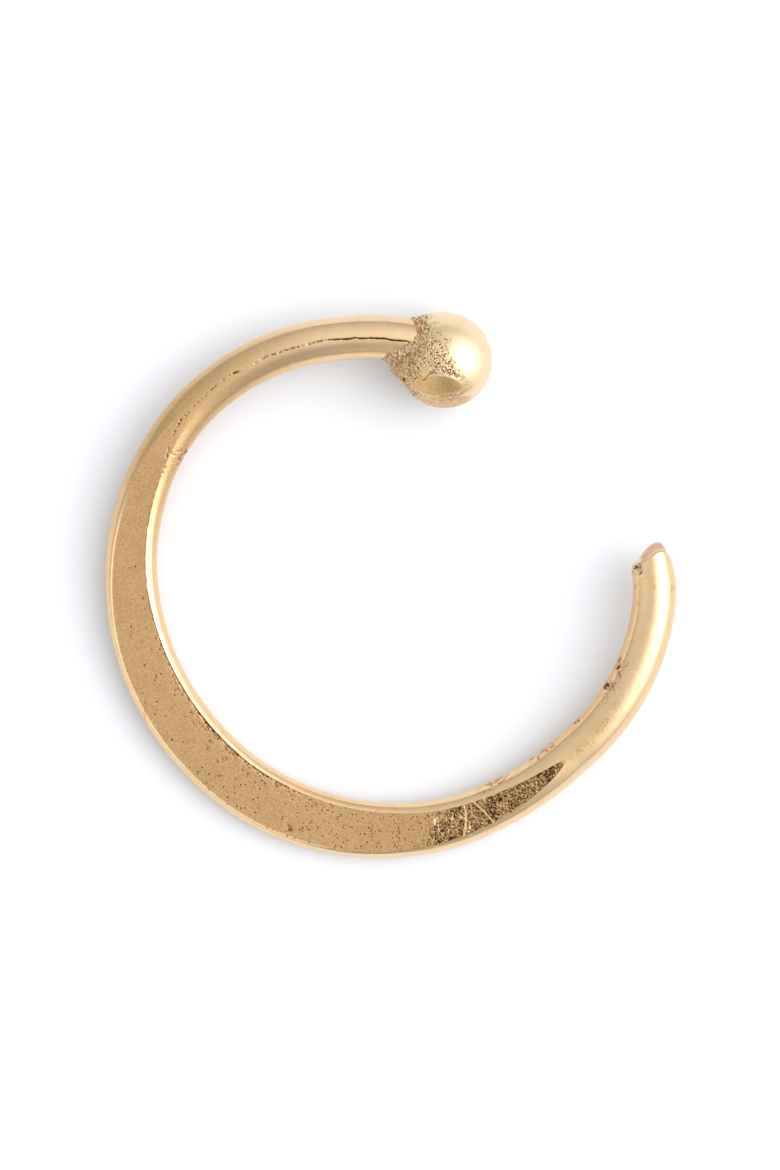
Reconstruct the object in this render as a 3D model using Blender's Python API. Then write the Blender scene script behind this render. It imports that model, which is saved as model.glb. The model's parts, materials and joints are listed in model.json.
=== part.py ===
"""One open huggie hoop earring, lying on its side on a table.

The real earring is a single piece of gold-filled brass wire. The wire is bent into an open C, its
lower left stretch is planished into a flat crescent, a ball is fused on one end, and the other end
is nipped off with cutters. Sizes are in metres, +Z is up, and the origin is under the middle of
the earring, on the table. Seen from above, +X is right, +Y is up and the mouth is at the upper
right.
"""

import math
from collections import namedtuple

import bmesh
import bpy
from mathutils import Matrix, Vector
from mathutils.geometry import intersect_ray_tri

MM = 0.001

# Driving sizes of the wire
WIRE_D = 1.02 * MM
HOOP_RADIUS = 6.06 * MM
CRESCENT_WIDTH = 1.44 * MM
CRESCENT_THICKNESS = 0.60 * MM

# Driving sizes of the ball and its neck. The ball's middle lies past the wire's end, and nearer
# the hoop's inside than the wire's axis.
BALL_D = 2.23 * MM
BALL_REACH = 1.29 * MM
BALL_INSET = 0.44 * MM
NECK_START = 0.35 * MM

# Driving sizes of the cut tip, a ridge between a long inner slope and a short outer one. The whole
# cut leans, so that the underside of the wire is the longer.
TIP_INNER_SLOPE = math.radians(32.0)
TIP_OUTER_SLOPE = math.radians(36.0)
TIP_LEAN = math.radians(10.0)
TIP_RIDGE = 0.10 * MM

# Where the wire's two ends are, in degrees round the hoop from +X
BALL_END = 90.0
TIP_END = 365.4

# How finely the mesh follows the shape
RING_STEP = 3.0
SIDE_FACES = 10
FLAT_FACES = 3
NECK_RINGS = 7
BALL_RINGS = 11
CAP_RINGS = 3
# On the round wire, the band that becomes the flat starts this far up the side.
FLAT_BORDER = math.radians(78.0)

GOLD_COLOUR = (0.60, 0.38, 0.17, 1.0)
GOLD_ROUGHNESS = 0.28
GOLD_METALLIC = 1.0

# The wire's shape at stations round the hoop. bend is a share of HOOP_RADIUS. spread goes from 0,
# as wide as the wire, to 1, as wide as the crescent, and press from 0, as thick as the wire, to 1,
# as thick as the crescent. inner and outer say how full each side is, from 0, where the wire was
# only pressed flat, to 1, a half round.
Station = namedtuple("Station", "angle bend spread press inner outer")
STATIONS = (
    Station(90, 0.901, 0.00, 0.00, 0.0, 0.0),
    Station(100, 0.915, 0.00, 0.00, 0.0, 0.0),
    Station(120, 0.955, 0.00, 0.04, 0.0, 0.0),
    Station(140, 0.986, 0.00, 0.17, 0.1, 0.0),
    Station(150, 0.994, 0.03, 0.27, 0.2, 0.0),
    Station(160, 0.999, 0.21, 0.42, 0.3, 0.0),
    Station(180, 1.004, 0.52, 0.75, 0.6, 0.2),
    Station(200, 1.004, 0.82, 0.97, 0.8, 0.2),
    Station(208, 1.003, 0.90, 1.00, 0.9, 0.1),
    Station(220, 1.003, 0.97, 1.00, 0.9, 0.1),
    Station(240, 1.009, 0.99, 1.00, 0.6, 0.1),
    Station(258, 1.009, 0.82, 1.00, 0.4, 0.1),
    Station(268, 1.007, 0.69, 0.92, 0.4, 0.2),
    Station(280, 1.004, 0.49, 0.71, 0.4, 0.4),
    Station(298, 0.994, 0.21, 0.34, 0.2, 0.2),
    Station(312, 0.993, 0.08, 0.05, 0.0, 0.0),
    Station(322, 1.006, 0.03, 0.00, 0.0, 0.0),
    Station(340, 1.025, 0.00, 0.00, 0.0, 0.0),
    Station(350, 1.027, 0.00, 0.00, 0.0, 0.0),
    Station(366, 1.009, 0.00, 0.00, 0.0, 0.0),
)


def mix(start, end, share):
    return start + (end - start) * share


def slopes_of(places, values):
    """Slopes for a smooth curve that never swings past the values it joins."""
    steps = [(values[i + 1] - values[i]) / (places[i + 1] - places[i]) for i in range(len(values) - 1)]
    slopes = [steps[0]]
    for before, after in zip(steps, steps[1:]):
        same_way = before * after > 0
        slopes.append(2 * before * after / (before + after) if same_way else 0.0)
    return slopes + [steps[-1]]


def shape_at(angle, column):
    """The value of one column of STATIONS at an angle."""
    places = [station.angle for station in STATIONS]
    values = [getattr(station, column) for station in STATIONS]
    slopes = slopes_of(places, values)
    i = max(n for n in range(len(places) - 1) if places[n] <= angle or n == 0)
    span = places[i + 1] - places[i]
    t = (angle - places[i]) / span
    ease = t * t * (3 - 2 * t)
    start_pull = slopes[i] * span * t * (1 - t) ** 2
    end_pull = slopes[i + 1] * span * t * t * (1 - t)
    return mix(values[i], values[i + 1], ease) + start_pull - end_pull


def axis_point(angle):
    """The wire's axis, in the hoop's own plane."""
    radius = HOOP_RADIUS * shape_at(angle, "bend")
    turn = math.radians(angle)
    return Vector((radius * math.cos(turn), radius * math.sin(turn), 0))


def frame_at(angle):
    """(point on the axis, direction along the wire towards its tip, direction out of the hoop)"""
    reach = 0.5
    along = (axis_point(angle + reach) - axis_point(angle - reach)).normalized()
    outwards = along.cross(Vector((0, 0, 1)))
    return axis_point(angle), along, outwards


def side_arc(bulge, border_height):
    """Points of one side from its lower border to its upper one, as (out from the border, up)."""
    radius = (bulge**2 + border_height**2) / (2 * bulge)
    half_turn = math.atan2(border_height, radius - bulge)
    points = []
    for i in range(SIDE_FACES + 1):
        turn = mix(-half_turn, half_turn, i / SIDE_FACES)
        points.append((radius * math.cos(turn) - radius + bulge, radius * math.sin(turn)))
    return points


def section(angle):
    """Outline of the wire across its axis, anticlockwise, as (out of the hoop, up)."""
    wire_radius = WIRE_D / 2
    half_width = mix(WIRE_D, CRESCENT_WIDTH, shape_at(angle, "spread")) / 2
    half_thickness = mix(WIRE_D, CRESCENT_THICKNESS, shape_at(angle, "press")) / 2
    border_height = min(half_thickness, wire_radius * math.sin(FLAT_BORDER))
    crown = half_thickness - border_height
    pressed_bulge = wire_radius - math.sqrt(wire_radius**2 - border_height**2)
    inner_bulge = mix(pressed_bulge, border_height, shape_at(angle, "inner"))
    outer_bulge = mix(pressed_bulge, border_height, shape_at(angle, "outer"))
    outer_border = half_width - outer_bulge
    inner_border = half_width - inner_bulge
    outline = [(outer_border + out, up) for out, up in side_arc(outer_bulge, border_height)]
    for i in range(1, FLAT_FACES):
        share = i / FLAT_FACES
        rise = crown * (1 - (2 * share - 1) ** 2)
        outline.append((mix(outer_border, -inner_border, share), border_height + rise))
    outline += [(-inner_border - out, -up) for out, up in side_arc(inner_bulge, border_height)]
    for i in range(1, FLAT_FACES):
        share = i / FLAT_FACES
        rise = crown * (1 - (2 * share - 1) ** 2)
        outline.append((mix(-inner_border, outer_border, share), -border_height - rise))
    return outline


def placed(outline, point, outwards):
    return [point + outwards * out + Vector((0, 0, up)) for out, up in outline]


def wire_rings():
    """Rings along the wire, from its ball end to the shorter side of the cut."""
    cut_back = WIRE_D / 2 * max(math.tan(TIP_INNER_SLOPE), math.tan(TIP_OUTER_SLOPE))
    last = TIP_END - math.degrees((cut_back + TIP_RIDGE) / HOOP_RADIUS)
    first = BALL_END + math.degrees(NECK_START / HOOP_RADIUS)
    count = math.ceil((last - first) / RING_STEP)
    rings = []
    for i in range(count + 1):
        angle = mix(first, last, i / count)
        point, _, outwards = frame_at(angle)
        rings.append(placed(section(angle), point, outwards))
    return rings


def round_outline(radius):
    """The round wire's outline at another radius, so that rings of any size join point to point."""
    size = radius / (WIRE_D / 2)
    return [(out * size, up * size) for out, up in section(BALL_END)]


def neck_edge(along, side):
    """How far out the neck or the ball reaches, along past the wire's end. side is 1 outside the
    hoop and -1 inside. The neck is the tangent between the wire's own roundness and the ball.
    """
    wire_radius, ball_radius = WIRE_D / 2, BALL_D / 2
    distance = math.hypot(BALL_REACH, BALL_INSET)
    axis_turn = math.atan2(-BALL_INSET, BALL_REACH)
    normal_turn = axis_turn + side * math.acos((wire_radius - ball_radius) / distance)
    normal = Vector((math.cos(normal_turn), math.sin(normal_turn)))
    ball_touch = BALL_REACH + ball_radius * normal.x
    if along < ball_touch:
        tangent = (wire_radius - normal.x * along) / normal.y
        return max(side * tangent, wire_radius) * side
    rise = math.sqrt(max(ball_radius**2 - (along - BALL_REACH) ** 2, 0))
    return side * rise - BALL_INSET


def ball_rings():
    """(rings from near the ball's pole to the wire, the pole itself)"""
    point, along_wire, outwards = frame_at(BALL_END)
    towards_ball = -along_wire
    ball_radius = BALL_D / 2
    places = [BALL_REACH + ball_radius * math.cos(math.pi / 2 * i / BALL_RINGS) for i in range(1, BALL_RINGS)]
    places += [mix(BALL_REACH, -NECK_START / 2, i / NECK_RINGS) for i in range(NECK_RINGS + 1)]
    rings = []
    for along in places:
        top, bottom = neck_edge(along, 1), neck_edge(along, -1)
        middle = point + towards_ball * along + outwards * (top + bottom) / 2
        rings.append(placed(round_outline((top - bottom) / 2), middle, outwards))
    pole = point + towards_ball * (BALL_REACH + ball_radius) - outwards * BALL_INSET
    return rings, pole


def cut_reach(out, up):
    """How far along the wire the cut lies from TIP_END, at a place across the wire."""
    inner = (out - TIP_RIDGE) * math.tan(TIP_INNER_SLOPE)
    outer = (TIP_RIDGE - out) * math.tan(TIP_OUTER_SLOPE)
    return min(inner, outer) - up * math.tan(TIP_LEAN)


def tip_rings():
    """(rings that close over the cut, the point in its middle)"""
    point, along, outwards = frame_at(TIP_END)
    rings = []
    for i in range(CAP_RINGS):
        size = 1 - i / CAP_RINGS
        ring = []
        for out, up in section(TIP_END):
            out, up = out * size, up * size
            ring.append(point + outwards * out + Vector((0, 0, up)) + along * cut_reach(out, up))
        rings.append(ring)
    return rings, point + along * cut_reach(0, 0)


def skinned(rings, first_pole, last_pole):
    """One closed mesh over rings of equal length, with a point at either end."""
    mesh = bmesh.new()
    loops = [[mesh.verts.new(corner) for corner in ring] for ring in rings]
    count = len(loops[0])
    first, last = mesh.verts.new(first_pole), mesh.verts.new(last_pole)
    for i in range(count):
        after = (i + 1) % count
        mesh.faces.new((first, loops[0][after], loops[0][i]))
        mesh.faces.new((last, loops[-1][i], loops[-1][after]))
        for near, far in zip(loops, loops[1:]):
            mesh.faces.new((near[i], near[after], far[after], far[i]))
    bmesh.ops.recalc_face_normals(mesh, faces=mesh.faces)
    bmesh.ops.triangulate(mesh, faces=mesh.faces)
    return mesh


def centre_of_mass(mesh):
    total, weighted = 0.0, Vector()
    for face in mesh.faces:
        a, b, c = (corner.co for corner in face.verts)
        volume = a.dot(b.cross(c)) / 6
        total += volume
        weighted += (a + b + c) / 4 * volume
    return weighted / total


def resting_turn(mesh):
    """The turn that lays the shape on the three points it comes to rest on. The ball is thicker
    than the wire, so the hoop leans. Those points are the face of its hull under its weight.
    """
    weight_at = centre_of_mass(mesh)
    hull = mesh.copy()
    found = bmesh.ops.convex_hull(hull, input=hull.verts)
    faces = [part for part in found["geom"] if isinstance(part, bmesh.types.BMFace)]
    under = []
    for face in faces:
        face.normal_update()
        corners = [corner.co for corner in face.verts]
        if face.normal.z < 0 and intersect_ray_tri(*corners, face.normal, weight_at):
            under.append(face.normal.copy())
    hull.free()
    down = min(under, key=lambda normal: normal.z)
    return down.rotation_difference(Vector((0, 0, -1))).to_matrix().to_4x4()


def stand_on_origin(mesh):
    lows = [min(corner.co[axis] for corner in mesh.verts) for axis in range(3)]
    highs = [max(corner.co[axis] for corner in mesh.verts) for axis in range(3)]
    middle = Vector(((lows[0] + highs[0]) / 2, (lows[1] + highs[1]) / 2, lows[2]))
    bmesh.ops.transform(mesh, matrix=Matrix.Translation(-middle), verts=mesh.verts)


def gold_filled_brass():
    material = bpy.data.materials.new("gold_filled_brass")
    material.use_nodes = True
    shader = material.node_tree.nodes["Principled BSDF"]
    shader.inputs["Base Color"].default_value = GOLD_COLOUR
    shader.inputs["Roughness"].default_value = GOLD_ROUGHNESS
    shader.inputs["Metallic"].default_value = GOLD_METALLIC
    return material


def make_hoop():
    ball, pole = ball_rings()
    tip, tip_point = tip_rings()
    mesh = skinned(ball + wire_rings() + tip, pole, tip_point)
    bmesh.ops.transform(mesh, matrix=resting_turn(mesh), verts=mesh.verts)
    stand_on_origin(mesh)
    data = bpy.data.meshes.new("huggie_hoop")
    mesh.to_mesh(data)
    mesh.free()
    data.shade_smooth()
    data.set_sharp_from_angle(angle=math.radians(30))
    data.materials.append(gold_filled_brass())
    hoop = bpy.data.objects.new("huggie_hoop", data)
    bpy.context.scene.collection.objects.link(hoop)


def main():
    for thing in list(bpy.data.objects):
        bpy.data.objects.remove(thing, do_unlink=True)
    make_hoop()


main()
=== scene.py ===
"""The huggie hoop earring as it looks, on a white table in a soft studio.

The real earring is one piece of gold-filled brass wire. It is bent into an open C, its lower left
stretch is planished into a flat crescent, one end is fused into a ball, and the other end is nipped
off with cutters. The wire and the ball are two pieces here, and the ball's lip overlaps the wire at
the rough seam where the metal ran.

The classes work in the hoop's own plane and in millimetres: angles are degrees round the hoop from
+X, out is away from the hoop's middle, and up is off the table. The frame is in metres.
"""

from __future__ import annotations

import functools
import itertools
import json
import logging
import math
from collections.abc import Sequence
from dataclasses import dataclass
from enum import StrEnum

import bpy
import numpy as np
from mathutils import Matrix, Vector


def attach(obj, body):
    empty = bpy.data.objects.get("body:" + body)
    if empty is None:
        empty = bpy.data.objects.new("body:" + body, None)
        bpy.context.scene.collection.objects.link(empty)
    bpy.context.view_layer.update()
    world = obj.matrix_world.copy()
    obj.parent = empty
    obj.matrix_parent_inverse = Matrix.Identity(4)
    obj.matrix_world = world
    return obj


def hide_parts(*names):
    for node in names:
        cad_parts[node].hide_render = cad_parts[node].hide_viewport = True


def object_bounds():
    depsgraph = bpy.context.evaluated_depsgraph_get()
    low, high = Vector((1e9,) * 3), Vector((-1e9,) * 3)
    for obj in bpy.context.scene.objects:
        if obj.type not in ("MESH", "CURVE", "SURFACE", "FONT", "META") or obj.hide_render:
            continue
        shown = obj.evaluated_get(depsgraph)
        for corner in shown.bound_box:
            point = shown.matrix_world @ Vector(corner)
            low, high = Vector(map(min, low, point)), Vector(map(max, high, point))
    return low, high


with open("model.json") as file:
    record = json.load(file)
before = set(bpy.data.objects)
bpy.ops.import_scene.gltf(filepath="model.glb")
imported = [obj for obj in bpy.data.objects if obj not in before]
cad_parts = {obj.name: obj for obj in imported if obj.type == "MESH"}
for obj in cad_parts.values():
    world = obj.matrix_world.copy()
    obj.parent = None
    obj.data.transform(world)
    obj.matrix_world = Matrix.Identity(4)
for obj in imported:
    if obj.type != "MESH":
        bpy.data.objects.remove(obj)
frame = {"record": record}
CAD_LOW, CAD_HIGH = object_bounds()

Array = np.ndarray
Line = Sequence[tuple[float, float]]

log = logging.getLogger("huggie_hoop")

MM = 0.001
NODE = "huggie_hoop"
BODY = "root"
# Farther, in mm or in cells, than any two points that are compared
FAR = 99.0
# Keeps a length from being divided by nothing
TINY = 1e-12
# The picture's height in pixels, and how much of the table one of them covers
PICTURE_PIXELS = 1170
PIXEL = 0.0233 * MM


class Wear(StrEnum):
    """What a patch of the surface has been through. Each is painted on the mesh by its name.
    Tarnish and blush also carry painted shade where the rims mirror the table's shadow.
    """

    PLANISHED = "planished"
    TARNISH = "tarnish"
    BLUSH = "blush"
    MATTE = "matte"
    GRAINY = "grainy"
    PITTED = "pitted"


# Repeatable noise, for pits, granules and wear

# The usual odd multipliers of an integer hash, for a cell's place, the seed and each draw
CELL_STEPS = (73856093, 19349663, 83492791)
SEED_STEP = 2654435761
DRAW_STEP = 1013904223
STIR = 0x45D9F3B
WORD = 0xFFFFFFFF


def lots(cells: Array, seed: int) -> Array:
    """Draws three repeatable numbers for each cell of a lattice.

    Args:
        cells: whole-numbered cells, with x, y and z last.
        seed: another seed gives other numbers.

    Returns:
        Numbers from 0 to 1, of the same shape as cells.
    """
    mixed = (cells.astype(np.int64) * CELL_STEPS).sum(axis=-1) + seed * SEED_STEP
    draws = []
    for draw in (1, 2, 3):
        value = (mixed + draw * DRAW_STEP) & WORD
        for _ in range(2):
            value = ((value ^ (value >> 16)) * STIR) & WORD
        draws.append((value ^ (value >> 16)) / (WORD + 1))
    return np.stack(draws, axis=-1)


def ripple(points: Array, size: float, seed: int) -> Array:
    """Smooth noise.

    Args:
        points: places in mm, with x, y and z last.
        size: how wide a lump is, in mm.
        seed: another seed gives another pattern.

    Returns:
        A number from 0 to 1 for each point.
    """
    scaled = points / size
    base = np.floor(scaled)
    part = scaled - base
    ease = part * part * (3 - 2 * part)
    total = np.zeros(points.shape[:-1])
    for corner in itertools.product((0, 1), repeat=3):
        weight = np.where(np.array(corner) == 1, ease, 1 - ease).prod(axis=-1)
        total += weight * lots(base + corner, seed)[..., 0]
    return total


def speckle(points: Array, size: float, seed: int) -> tuple[Array, Array]:
    """Scattered spots, as of pits or granules.

    Args:
        points: places in mm, with x, y and z last.
        size: how far apart the spots are, in mm.
        seed: another seed gives another pattern.

    Returns:
        The distance to the nearest spot in mm, and that spot's own number from 0 to 1.
    """
    scaled = points / size
    base = np.floor(scaled)
    nearest = np.full(points.shape[:-1], FAR)
    number = np.zeros(points.shape[:-1])
    for corner in itertools.product((-1, 0, 1), repeat=3):
        cell = base + corner
        gap = np.linalg.norm(cell + lots(cell, seed) - scaled, axis=-1)
        nearer = gap < nearest
        nearest = np.where(nearer, gap, nearest)
        number = np.where(nearer, lots(cell, seed + 1)[..., 0], number)
    return nearest * size, number


def ramp(value: Array, low: float | Array, high: float | Array) -> Array:
    """An eased step from 0 at low to 1 at high."""
    share = np.clip((value - low) / (high - low), 0, 1)
    return share * share * (3 - 2 * share)


def hump(value: Array, low: tuple[float, float], high: tuple[float, float]) -> Array:
    """1 between two eased steps, up over the first and down over the second."""
    return ramp(value, *low) * (1 - ramp(value, *high))


def mix(start: Array | float, end: Array | float, share: Array | float) -> Array | float:
    """The value that lies this share of the way from start to end."""
    return start + (end - start) * share


def flat_points(first: Array, second: Array) -> Array:
    """Two measures as points for the noise functions."""
    first, second = np.broadcast_arrays(first, second)
    return np.stack([first, second, np.zeros_like(first)], axis=-1)


def off_line(points: Array, line: Line) -> Array:
    """How far each point is from a line.

    Args:
        points: places in mm, with x and y last.
        line: the line's corners, as x and y in mm.

    Returns:
        The distance in mm for each point.
    """
    nearest = np.full(points.shape[:-1], FAR)
    for start, end in itertools.pairwise(np.array(line)):
        reach = end - start
        share = np.clip(((points - start) @ reach) / (reach @ reach), 0, 1)
        gap = points - start - share[..., None] * reach
        nearest = np.minimum(nearest, np.linalg.norm(gap, axis=-1))
    return nearest


class Course:
    """A value that changes smoothly from stop to stop and never swings past the values it joins."""

    def __init__(self, *stops: tuple[float, float]) -> None:
        """Keeps the stops and works out the slope at each.

        Args:
            stops: in order, each a place and the value there.
        """
        self.places, self.values = np.array(stops, float).T
        steps = np.diff(self.values) / np.diff(self.places)
        before, after = steps[:-1], steps[1:]
        same_way = before * after > 0
        middle = np.where(same_way, 2 * before * after / np.where(same_way, before + after, 1), 0)
        self.slopes = np.concatenate([steps[:1], middle, steps[-1:]])

    def at(self, place: Array | float) -> Array:
        """The value at a place.

        Args:
            place: where along the course.

        Returns:
            The value there, which stays the same beyond either end.
        """
        place = np.clip(place, self.places[0], self.places[-1])
        last = len(self.places) - 2
        i = np.clip(np.searchsorted(self.places, place, side="right") - 1, 0, last)
        span = self.places[i + 1] - self.places[i]
        t = (place - self.places[i]) / span
        eased = mix(self.values[i], self.values[i + 1], t * t * (3 - 2 * t))
        start_pull = self.slopes[i] * span * t * (1 - t) ** 2
        end_pull = self.slopes[i + 1] * span * t * t * (1 - t)
        return eased + start_pull - end_pull


# Meshes


@dataclass
class Skin:
    """A closed surface in the hoop's plane: rings of equal length, with a point at either end."""

    rings: Array
    first_pole: Array
    last_pole: Array

    def normals(self) -> Array:
        """Works out which way is outwards.

        Returns:
            The outward direction, of length 1, at each point of the rings.
        """
        around = np.roll(self.rings, -1, axis=1) - np.roll(self.rings, 1, axis=1)
        across = np.cross(around, np.gradient(self.rings, axis=0))
        across /= np.linalg.norm(across, axis=-1, keepdims=True) + TINY
        middle = self.rings.mean(axis=1, keepdims=True)
        inside_out = ((self.rings - middle) * across).sum(axis=-1) < 0
        return -across if inside_out.mean() > 0.5 else across

    def points(self) -> Array:
        """All points, the two poles last."""
        return np.concatenate([self.rings.reshape(-1, 3), [self.first_pole, self.last_pole]])

    def faces(self) -> list[tuple[int, ...]]:
        """Joins the points up.

        Returns:
            All faces as point numbers, turned outwards.
        """
        count, around = self.rings.shape[:2]
        first, last = count * around, count * around + 1
        here = np.arange(around)
        after = (here + 1) % around
        faces: list[tuple[int, ...]] = [(first, int(b), int(a)) for a, b in zip(here, after)]
        for near in range(0, (count - 1) * around, around):
            far = near + around
            quads = np.stack([near + here, near + after, far + after, far + here], axis=-1)
            faces += map(tuple, quads.tolist())
        end = (count - 1) * around
        faces += [(last, int(end + a), int(end + b)) for a, b in zip(here, after)]
        points = self.points()
        fan = np.array([(f[0], f[k], f[k + 1]) for f in faces for k in range(1, len(f) - 1)])
        a, b, c = (points[fan[:, k]] for k in range(3))
        inside_out = (a * np.cross(b, c)).sum() < 0
        return [face[::-1] for face in faces] if inside_out else faces


@dataclass(frozen=True)
class Lie:
    """How the hoop lies on the table: turned as the CAD model is, and set inside its box."""

    turn: Matrix
    scale: float
    shift: Vector

    @classmethod
    def of(cls, skins: Sequence[Skin]) -> Lie:
        """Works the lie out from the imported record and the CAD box.

        Args:
            skins: every piece of the earring, in the hoop's plane.

        Returns:
            The one lie that all pieces share.
        """
        mounts = {mount["name"]: mount for mount in frame["record"]["mounts"]}
        upright = Vector(mounts["crescent_top"]["axis"])
        turn = Vector((0, 0, 1)).rotation_difference(upright).to_matrix()
        placed = np.concatenate([skin.points() for skin in skins]) * MM @ np.array(turn).T
        low, high = placed.min(axis=0), placed.max(axis=0)
        scale = min(1.0, float((np.array(CAD_HIGH - CAD_LOW) / (high - low)).min()))
        middle = Vector((low + high) / 2) * scale
        shift = (CAD_LOW + CAD_HIGH) / 2 - middle
        shift.z = CAD_LOW.z - float(low[2]) * scale
        return cls(turn, scale, shift)

    def place(self, points: Array) -> Array:
        """Points in the hoop's plane, in mm, as points in the frame, in metres."""
        return points * MM @ np.array(self.turn).T * self.scale + np.array(self.shift)


def make_piece(
    name: str, skin: Skin, lie: Lie, paint: dict[str, Array], material: bpy.types.Material
) -> None:
    """Makes one piece of the earring and rides it on the frame.

    Args:
        name: the piece's name.
        skin: its surface, in the hoop's plane.
        lie: how the hoop lies.
        paint: by name, a number or a vector for each point of the rings.
        material: what the piece is made of.
    """
    data = bpy.data.meshes.new(name)
    data.from_pydata(lie.place(skin.points()).tolist(), [], skin.faces())
    for label, values in paint.items():
        is_vector = values.ndim > 2
        kind, field = ("FLOAT_VECTOR", "vector") if is_vector else ("FLOAT", "value")
        poles = np.zeros(6 if is_vector else 2)
        layer = data.attributes.new(str(label), kind, "POINT")
        layer.data.foreach_set(field, np.concatenate([values.ravel(), poles]).astype(np.float32))
    data.shade_smooth()
    data.update()
    data.materials.append(material)
    piece = bpy.data.objects.new(name, data)
    bpy.context.scene.collection.objects.link(piece)
    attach(piece, BODY)
    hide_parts(NODE)
    log.info("%s: %d points, %d faces", name, len(data.vertices), len(data.polygons))


# How much of each kind of wear a burnish takes off
BURNISHED_OFF = {Wear.TARNISH: 1.0, Wear.MATTE: 1.0, Wear.GRAINY: 1.0, Wear.PLANISHED: 0.7}


@dataclass
class Dressing:
    """The relief to cut into a surface and the wear to paint on it, as they build up."""

    rise: Array
    wear: dict[Wear, Array]

    @classmethod
    def over(cls, shape: tuple[int, ...]) -> Dressing:
        """A dressing for this many points, with nothing on it yet."""
        return cls(np.zeros(shape), {kind: np.zeros(shape) for kind in Wear})

    def lay(self, mask: Array, rise: Array | float = 0.0, **wear: Array | float) -> None:
        """Lays one thing over the surface.

        Args:
            mask: 1 where it lies, fading to 0.
            rise: how many mm it lifts the surface, or less than 0 where it cuts in.
            wear: how much of each kind of wear it has. It never lowers what is there.
        """
        self.rise += rise * mask
        for name, share in wear.items():
            kind = Wear(name)
            self.wear[kind] = np.maximum(self.wear[kind], share * mask)

    def rub(self, mask: Array) -> None:
        """Burnishes the surface where the mask is 1, which takes its wear off."""
        for kind, share in BURNISHED_OFF.items():
            self.wear[kind] = self.wear[kind] * (1 - share * mask)


# The wire


@dataclass(frozen=True)
class Station:
    """The wire's shape at one place round the hoop.

    bend is a share of the hoop's radius. spread and press go from 0, the round wire, to 1, the
    crescent's width and thickness. inner and outer say how full each side is, from pressed flat to
    a half round.
    """

    angle: float
    bend: float
    spread: float = 0.0
    press: float = 0.0
    inner: float = 0.0
    outer: float = 0.0


STATIONS = (
    Station(80, 0.887),
    Station(90, 0.901),
    Station(100, 0.915),
    Station(120, 0.955, 0.00, 0.04),
    Station(140, 0.986, 0.00, 0.17, 0.1),
    Station(150, 0.994, 0.03, 0.27, 0.2),
    Station(160, 0.999, 0.21, 0.42, 0.3),
    Station(180, 1.004, 0.52, 0.75, 0.5, 0.05),
    Station(200, 1.004, 0.82, 0.97, 0.45),
    Station(208, 1.003, 0.90, 1.00, 0.45),
    Station(220, 1.003, 0.97, 1.00, 0.45),
    Station(240, 1.009, 0.99, 1.00, 0.45, 0.05),
    Station(258, 1.009, 0.82, 1.00, 0.4, 0.1),
    Station(268, 1.007, 0.69, 0.92, 0.4, 0.17),
    Station(280, 1.004, 0.49, 0.71, 0.4, 0.30),
    Station(298, 0.994, 0.21, 0.32, 0.2, 0.17),
    Station(305, 0.993, 0.12, 0.14, 0.1, 0.1),
    Station(309, 0.993, 0.10, 0.05),
    Station(313.5, 0.994, 0.07, 0.00),
    Station(322, 1.006, 0.03),
    Station(340, 1.025),
    Station(350, 1.027),
    Station(366, 1.009),
    Station(368, 1.006),
)


@dataclass(frozen=True)
class Mark:
    """A line on the top of the wire, through places given as degrees round and mm out.

    depth is how deep it is cut, and burnish is how far it rubs away the tarnish it crosses.
    """

    places: Line
    half_width: float
    depth: float = 0.0
    tarnish: float = 0.0
    burnish: float = 0.0


@dataclass(frozen=True)
class Spot:
    """A round blemish on the top of the wire, at a place in degrees round and mm out."""

    angle: float
    out: float
    radius: float
    rise: float = 0.0
    tarnish: float = 0.0
    blush: float = 0.0
    burnish: float = 0.0
    grain: float = 0.0


# Burnished scratches across the rough patch, two ticks across the seam, a hairline on the flat and
# two slits by the nick
MARKS = (
    Mark(((287.6, -0.37), (287.6, -0.19), (286.9, 0.05), (285.4, 0.37)), 0.017, 0.004, 0.0, 1.0),
    Mark(((289.3, -0.29), (288.6, -0.02)), 0.011, 0.003, 0.0, 0.7),
    Mark(((290.0, -0.33), (291.3, -0.05), (292.6, 0.38)), 0.014, 0.004, 0.0, 1.0),
    Mark(((292.5, -0.30), (292.6, -0.17)), 0.011, 0.003, 0.0, 0.8),
    Mark(((119.6, 0.18), (120.9, -0.06)), 0.010, 0.003, 0.0, 1.0),
    Mark(((109.4, 0.09), (110.0, -0.08)), 0.010, 0.003, 0.0, 1.0),
    Mark(((207.2, 0.39), (211.3, 0.66)), 0.008, 0.004, 0.35),
    Mark(((361.0, -0.46), (361.6, -0.38), (361.4, -0.33)), 0.012, 0.020, 0.9),
    Mark(((359.9, -0.33), (360.6, -0.26)), 0.012, 0.020, 0.9),
)

PITS = (
    Spot(230.0, 0.15, 0.026, -0.012, 0.8),
    Spot(229.8, 0.24, 0.020, -0.010, 0.6),
    Spot(229.6, 0.36, 0.018, -0.010, 0.6),
    Spot(229.3, 0.50, 0.026, -0.012, 0.8),
    Spot(248.5, 0.33, 0.024, -0.012, 0.8),
    Spot(248.7, 0.42, 0.034, -0.014, 0.9),
    Spot(251.0, 0.30, 0.024, -0.010, 0.7),
    Spot(193.4, 0.18, 0.024, -0.010, 0.7),
    Spot(195.7, -0.02, 0.020, -0.010, 0.6),
)
# Light knobs in the rough patch
KNOBS = (
    Spot(279.9, -0.12, 0.070, 0.014, 0.0, 0.3, 1.0),
    Spot(284.0, -0.12, 0.052, 0.014, 0.0, 0.4, 1.0),
    Spot(286.2, -0.08, 0.038, 0.012, 0.0, 0.0, 1.0),
    Spot(287.0, 0.22, 0.050, 0.014, 0.0, 0.3, 1.0),
    Spot(286.6, 0.29, 0.040, 0.012, 0.0, 0.3, 1.0),
)
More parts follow.
